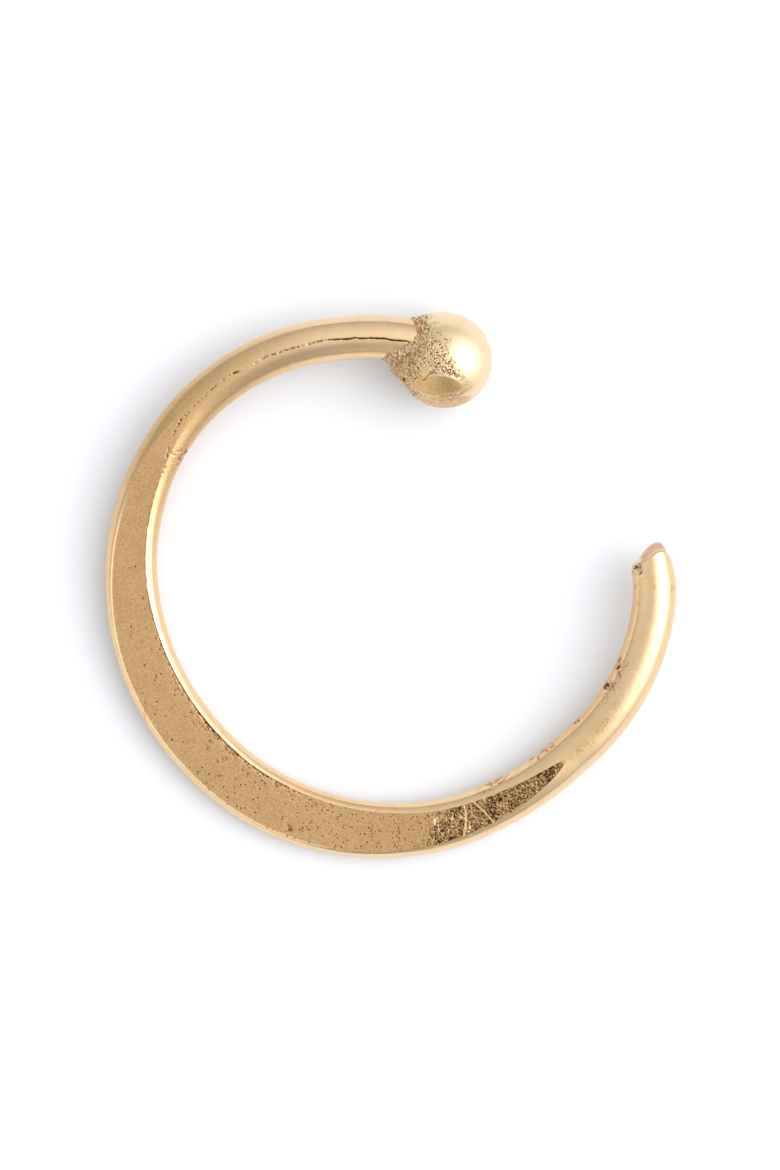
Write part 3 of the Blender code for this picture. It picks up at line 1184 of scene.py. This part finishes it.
        # One smooth place low on the near side, where the ball was last wiped, and the rim below
        # it, which mirrors the shaded table
        smooth = 1 - ramp(np.hypot((right + 0.13) / 0.62, (upwards + 0.57) / 0.27), 0.8, 1.1)
        smooth *= ramp(height, 0.2, 0.5)
        rim = ramp(-upwards, 0.76, 0.88) * hump(right, (-0.75, -0.45), (0.45, 0.75))
        pitted *= (1 - smooth) * (1 - rim)
        necked *= (1 - 0.7 * smooth) * (1 - rim)

        gap, number = speckle(places, 0.055, seed=79)
        granule = 1 - ramp(gap, 0.008, 0.036)
        bright = granule * (number > 0.45) * (1 - smooth) * (1 - rim)
        fine, grained = ripple(places, 0.032, seed=83), ripple(places, 0.045, seed=103)
        pit_gap, pit_number = speckle(places, 0.052, seed=89)
        belt = hump(right, (border - 0.75, border - 0.40), (border - 0.12, border + 0.12))
        pit = pitted * (pit_number < 0.38 + 0.34 * belt)
        pit *= 1 - ramp(pit_gap, 0.006 + 0.014 * pit_number, 0.018 + 0.016 * pit_number)
        crease = off_line(here[..., :2], self.crease_line)
        crease += 0.034 * (ripple(places, 0.035, seed=97) - 0.4)
        crease = (1 - ramp(crease, 0.008, 0.022)) * (height > 0)
        # The one deep hole on the neck's inner side
        hole = (1 - ramp(np.hypot(right + 0.96, upwards + 0.45), 0.026, 0.048)) * (height > -0.3)
        # Where the table's horizon reflects: a painted dark pink reflection over a shallow groove
        edge = off_line(here[..., :2], self.horizon_line)
        edge += 0.03 * (ripple(places, 0.06, seed=101) - 0.4)
        edge = (1 - ramp(edge, 0.004, 0.026)) * (height > 0)
        # The metal is brighter where the neck runs out over the top of the wire.
        topped = ramp(upwards, 0.1, 0.45)
        hollow = (1 - granule) * ramp(fine, 0.55, 0.2) * mix(0.75, 0.40, topped)
        rim_shade = 0.10 + 0.34 * ramp(0.5 * (fine + grained), 0.35, 0.75)

        dress = Dressing.over(right.shape)
        dress.lay(
            necked,
            0.016 * granule * (0.3 + number) + 0.012 * fine - 0.020,
            tarnish=hollow,
            planished=mix(0.48, 0.10, topped),
            matte=0.15,
            grainy=mix(0.55, 0.30, topped),
            pitted=0.30,
        )
        dress.lay(
            pitted,
            0.008 * (fine - 1.0),
            planished=0.4,
            matte=0.1,
            grainy=mix(0.46, 0.34, topped) + 0.18 * belt,
            pitted=0.42 + 0.22 * belt,
        )
        # Painted reflection: the rim's darker, pinker tarnish stands in for the shaded table that
        # it mirrors, over its real fine grain
        dress.lay(rim, tarnish=rim_shade, planished=0.45, matte=0.5, grainy=0.36)
        dress.lay(smooth, tarnish=0.07, planished=1.0)
        # The pits, the crease and the hole are real; the horizon line's tarnish is painted
        # reflection
        for mask, rise, tarnish in (
            (pit, -0.020, 0.9), (crease, -0.018, 0.85), (hole, -0.045, 1.0), (edge, -0.008, 0.28)
        ):
            dress.lay(mask, rise, tarnish=tarnish)
        # The rim's and the horizon line's share of this pink is painted reflection of the shaded
        # table
        blush = rim * (0.10 + 0.5 * grained) + 0.12 * necked + 0.7 * edge
        dress.wear[Wear.BLUSH] = np.clip(blush, 0, 1)
        dress.wear[Wear.PLANISHED] *= 1 - 0.9 * bright
        for kind in (Wear.TARNISH, Wear.GRAINY, Wear.PITTED):
            dress.wear[kind] *= shown
        skin.rings += normals * (dress.rise * shown)[..., None]
        return dress.wear


# Finishes


def linear(colour: str, brightness: float = 1.0) -> tuple[float, float, float, float]:
    """Turns an sRGB hex colour into a linear one.

    Args:
        colour: the sRGB colour, as # and six hex digits.
        brightness: what the linear colour is multiplied by.

    Returns:
        Linear red, green, blue and alpha.
    """
    channels = [int(colour[i : i + 2], 16) / 255 for i in (1, 3, 5)]
    light = [c / 12.92 if c <= 0.04045 else ((c + 0.055) / 1.055) ** 2.4 for c in channels]
    return (*(c * brightness for c in light), 1.0)


def add(
    tree: bpy.types.NodeTree,
    kind: str,
    inputs: dict[str | int, object] | None = None,
    **settings: object,
) -> bpy.types.Node:
    """Adds a shader node with its settings, its input values and its links.

    Args:
        tree: the node tree.
        kind: the node's type, without ShaderNode in front.
        inputs: for each input's name or number, a value, the socket that feeds it, or a node whose
            first output does.
        settings: the node's own properties.

    Returns:
        The new node.
    """
    node = tree.nodes.new("ShaderNode" + kind)
    for name, value in settings.items():
        setattr(node, name, value)
    for name, value in (inputs or {}).items():
        source = value.outputs[0] if isinstance(value, bpy.types.Node) else value
        if isinstance(source, bpy.types.NodeSocket):
            tree.links.new(source, node.inputs[name])
        else:
            node.inputs[name].default_value = source
    return node


@dataclass(frozen=True)
class GoldFill:
    """14 karat gold-filled brass: a thin layer of yellow gold bonded over brass.

    Polished gold mirrors the white studio, so most of what the eye sees is the room. The layer's
    colour is a little paler than fine gold. Wear opens it: dirt turns pits olive brown, and thin
    places blush towards the copper in the brass.
    """

    name: str
    gold: str = "#EFD0A2"
    deep: str = "#EDC89A"
    planished: str = "#C9A271"
    # How much lighter and darker the hammered metal is, and how much of that goes by patches
    # rather than by grains
    shading: float = 0.24
    patchiness: float = 0.16
    tarnished: str = "#462708"
    blushed: str = "#EFB988"
    polished_roughness: float = 0.20
    planished_roughness: float = 0.34
    matte_roughness: float = 0.50
    uneven_roughness: float = 0.012
    # The polishing wheel's lines run along the wire, a few hundredths of a millimetre apart.
    line_mm: float = 0.03
    line_height_mm: float = 0.0015
    # Satin grit on the flat and between granules. Real 600 grit leaves 0.015 mm marks, and these
    # are drawn two to three times as coarse so that they show.
    grit_mm: float = 0.04
    grit_height_mm: float = 0.0032
    # Dirt lodged between granules, in crumbs
    crumb_mm: float = 0.040
    crumb_height_mm: float = 0.022
    # Pinpoint pits
    pit_mm: float = 0.050
    pit_depth_mm: float = 0.008
    mottle_mm: float = 0.35

    def make(self) -> bpy.types.Material:
        """Builds the material. A MapRange node's inputs are a value, its range and the new range.

        Returns:
            The new material.
        """
        material = bpy.data.materials.new(self.name)
        material.use_nodes = True
        tree = material.node_tree
        tree.nodes.clear()
        put = functools.partial(add, tree)
        wear = {kind: put("Attribute", attribute_name=kind.value).outputs["Fac"] for kind in Wear}
        place = put("TexCoord").outputs["Object"]
        in_mm = put("VectorMath", {0: place, 3: 1 / MM}, operation="SCALE")
        mottle, grit, crumbs = (
            put("TexNoise", {"Vector": in_mm, "Scale": 1 / size, "Detail": fine, "Roughness": 0.6})
            for size, fine in ((self.mottle_mm, 5.0), (self.grit_mm, 3.0), (self.crumb_mm, 2.0))
        )

        # Dirt: where crumbs pass a level that falls as the surface gets grainier, and in pits
        level = put("MapRange", {0: wear[Wear.GRAINY], 3: 0.80, 4: 0.40})
        full = put("Math", {0: level, 1: 0.05}, operation="ADD")
        dirt = put("MapRange", {0: crumbs, 1: level, 2: full})
        cells = put("TexVoronoi", {"Vector": in_mm, "Scale": 1 / self.pit_mm})
        rarity = cells.outputs["Color"]
        chosen = put("Math", {0: rarity, 1: wear[Wear.PITTED]}, operation="LESS_THAN")
        # The rarer a pit is, the wider it is.
        gap = put("Math", {0: rarity, 1: 0.5, 2: cells}, operation="MULTIPLY_ADD")
        near = put("MapRange", {0: gap, 1: 0.52, 2: 0.34})
        pit = put("Math", {0: chosen, 1: near}, operation="MULTIPLY")
        for other in (pit, wear[Wear.TARNISH]):
            dirt = put("Math", {0: dirt, 1: other}, operation="MAXIMUM")

        # Colour
        patches, grains = (put("MapRange", {0: n, 1: 0.35, 2: 0.65}) for n in (mottle, grit))
        shades = put("Mix", {0: self.patchiness, 2: grains, 3: patches})
        light, dark = (linear(self.planished, 1 + way * self.shading) for way in (1, -1))
        polished, satin = (
            put("Mix", {0: share, 6: under, 7: over}, data_type="RGBA").outputs[2]
            for share, under, over in (
                (patches, linear(self.gold), linear(self.deep)), (shades, light, dark)
            )
        )
        colour = polished
        for share, over in (
            (wear[Wear.PLANISHED], satin),
            (wear[Wear.BLUSH], linear(self.blushed)),
            (dirt, linear(self.tarnished)),
        ):
            colour = put("Mix", {0: share, 6: colour, 7: over}, data_type="RGBA").outputs[2]

        # Roughness
        rough = put(
            "MapRange",
            {0: wear[Wear.PLANISHED], 3: self.polished_roughness, 4: self.planished_roughness},
        )
        worn = put("Math", {0: wear[Wear.MATTE], 1: dirt}, operation="MAXIMUM")
        rough = put("Mix", {0: worn, 2: rough, 3: self.matte_roughness})
        spread = self.uneven_roughness
        uneven = put("MapRange", {0: mottle, 1: 0.3, 2: 0.7, 3: -spread, 4: spread})
        rough = put("Math", {0: rough, 1: uneven}, operation="ADD")

        # Relief: satin grit, crumbs, pits and the polishing wheel's lines
        coarse = put("Math", {0: wear[Wear.PLANISHED], 1: wear[Wear.MATTE]}, operation="MAXIMUM")
        grit_depth = put("MapRange", {0: coarse, 3: 0.12, 4: 1.0})
        grit_height = put("Math", {0: grit, 1: grit_depth}, operation="MULTIPLY")
        crumb_height = put("Math", {0: crumbs, 1: wear[Wear.GRAINY]}, operation="MULTIPLY")
        course = put("Attribute", attribute_name="course").outputs["Vector"]
        stretched = put("VectorMath", {0: course, 1: (0.04, 1.0, 1.0)}, operation="MULTIPLY")
        lines = put("TexNoise", {"Vector": stretched, "Scale": 1 / self.line_mm, "Detail": 2.0})
        normal = put("NewGeometry").outputs["Normal"]
        for height, depth in (
            (grit_height, self.grit_height_mm),
            (crumb_height, -self.crumb_height_mm),
            (pit, -self.pit_depth_mm),
            (lines, self.line_height_mm),
        ):
            bump = {"Height": height, "Distance": depth * MM, "Strength": 1.0, "Normal": normal}
            normal = put("Bump", bump)

        shader = put(
            "BsdfPrincipled",
            {"Base Color": colour, "Roughness": rough, "Normal": normal, "Metallic": 1.0},
        )
        put("OutputMaterial", {"Surface": shader})
        return material


DRAWN_AND_PLANISHED = GoldFill("gold_filled_wire_polished_and_planished")
# The ball was melted, so it has no wheel lines but a fine skin.
FUSED = GoldFill(
    "gold_filled_ball_fused_and_polished",
    gold="#F5DCB6",
    deep="#F4D7AE",
    planished="#E4BC84",
    tarnished="#5C330C",
    polished_roughness=0.35,
    planished_roughness=0.28,
    line_height_mm=0.0,
    grit_mm=0.03,
    grit_height_mm=0.0035,
    crumb_mm=0.038,
    crumb_height_mm=0.030,
    mottle_mm=0.25,
)


# The studio


@dataclass(frozen=True)
class SoftLight:
    """One soft light far off in the studio.

    azimuth is in degrees anticlockwise from +X and tilt is down from straight overhead. spread is
    how wide the light is, and brightness is over the room's own light. A negative one is a dark
    flag that keeps light off.
    """

    azimuth: float
    tilt: float
    spread: float
    brightness: float

    def direction(self) -> Vector:
        """The way to the light.

        Returns:
            A direction of length 1, from the table.
        """
        azimuth, tilt = math.radians(self.azimuth), math.radians(self.tilt)
        level = math.sin(tilt)
        return Vector((level * math.cos(azimuth), level * math.sin(azimuth), math.cos(tilt)))


@dataclass(frozen=True)
class Studio:
    """A white table under a bright, even room, with a large softbox on the right."""

    room: float = 0.64
    room_colour: str = "#FDFEFF"
    table_half_size: float = 0.45
    table_white: float = 0.885
    table_tint: tuple[float, float, float] = (0.978, 1.0, 1.040)
    lens_mm: float = 200.0
    sensor_mm: float = 36.0
    # The height of the picture where it cuts the middle of the earring
    picture_height: float = PICTURE_PIXELS * PIXEL
    picture_shift: float = 0.95 * PIXEL
    lights: tuple[SoftLight, ...] = (
        SoftLight(-1, 49, 24.5, 3.2),
        SoftLight(100, 38, 26, 0.18),
        SoftLight(214, 68, 27, 0.46),
        SoftLight(-60, 44, 22, -0.56),
    )
    # The room is darker just above the table, to this height as a share of the way up
    skirting: float = 0.12
    skirting_brightness: float = -0.34

    def build(self) -> None:
        """Sets the table, the room's light and the camera."""
        self.set_table()
        self.light_room()
        self.place_camera()
        bpy.context.scene.view_settings.view_transform = "Standard"
        log.info("studio: %d soft lights", len(self.lights))

    def set_table(self) -> None:
        """A plain white table top, far larger than the view."""
        half = self.table_half_size
        corners = [(x * half, y * half, 0) for x, y in ((-1, -1), (1, -1), (1, 1), (-1, 1))]
        data = bpy.data.meshes.new("white_table")
        data.from_pydata(corners, [], [(0, 1, 2, 3)])
        material = bpy.data.materials.new("white_card_matt")
        material.use_nodes = True
        inputs = material.node_tree.nodes["Principled BSDF"].inputs
        white = (*(self.table_white * tint for tint in self.table_tint), 1.0)
        inputs["Base Color"].default_value = white
        inputs["Roughness"].default_value = 0.9
        inputs["Specular IOR Level"].default_value = 0.2
        data.materials.append(material)
        table = bpy.data.objects.new("white_table", data)
        bpy.context.scene.collection.objects.link(table)

    def light_room(self) -> None:
        """The room's even light with each soft light added, as seen in every direction."""
        world = bpy.data.worlds.new("soft_studio")
        bpy.context.scene.world = world
        world.use_nodes = True
        world.node_tree.nodes.clear()
        put = functools.partial(add, world.node_tree)
        direction = put("TexCoord").outputs["Generated"]
        height = put("SeparateXYZ", {0: direction}).outputs["Z"]
        share = put("Math", {0: height, 1: 1 / self.skirting}, operation="MULTIPLY")
        square = put("Math", {0: share, 1: share}, operation="MULTIPLY")
        minus = put("Math", {0: square, 1: -1.0}, operation="MULTIPLY")
        falls = [(minus, self.skirting_brightness)]
        for light in self.lights:
            sharpness = 1 / math.radians(light.spread) ** 2
            ray = light.direction()
            facing = put("VectorMath", {0: direction, 1: ray}, operation="DOT_PRODUCT")
            away = {0: facing.outputs["Value"], 1: sharpness, 2: -sharpness}
            falls.append((put("Math", away, operation="MULTIPLY_ADD"), light.brightness))
        total: bpy.types.Node | float = self.room
        for fall, brightness in falls:
            glow = put("Math", {0: fall}, operation="EXPONENT")
            total = put("Math", {0: glow, 1: brightness, 2: total}, operation="MULTIPLY_ADD")
        background = put("Background", {"Color": linear(self.room_colour), "Strength": total})
        put("OutputWorld", {"Surface": background})

    def place_camera(self) -> None:
        """A long lens straight above the earring."""
        middle = (CAD_LOW + CAD_HIGH) / 2
        data = bpy.data.cameras.new("overhead_camera")
        data.lens, data.sensor_width = self.lens_mm, self.sensor_mm
        data.clip_start, data.clip_end = 0.005, 5.0
        distance = self.picture_height * self.lens_mm / self.sensor_mm
        camera = bpy.data.objects.new("overhead_camera", data)
        camera.location = (middle.x, middle.y + self.picture_shift, middle.z + distance)
        bpy.context.scene.collection.objects.link(camera)
        bpy.context.scene.camera = camera


def main() -> None:
    """Builds the earring's pieces and the studio round them."""
    logging.basicConfig(level=logging.INFO, format="%(name)s: %(message)s")
    wire = Wire()
    wire_wear = WireWear(wire, *wire.skin())
    wire_paint = wire_wear.apply()
    ball_skin, ball_paint = FusedBall(wire).skin()
    lie = Lie.of([wire_wear.skin, ball_skin])
    log.info("lie: scale %.5f", lie.scale)
    make_piece("planished_wire", wire_wear.skin, lie, wire_paint, DRAWN_AND_PLANISHED.make())
    make_piece("fused_ball", ball_skin, lie, ball_paint, FUSED.make())
    Studio().build()


if __name__ == "__main__":
    main()
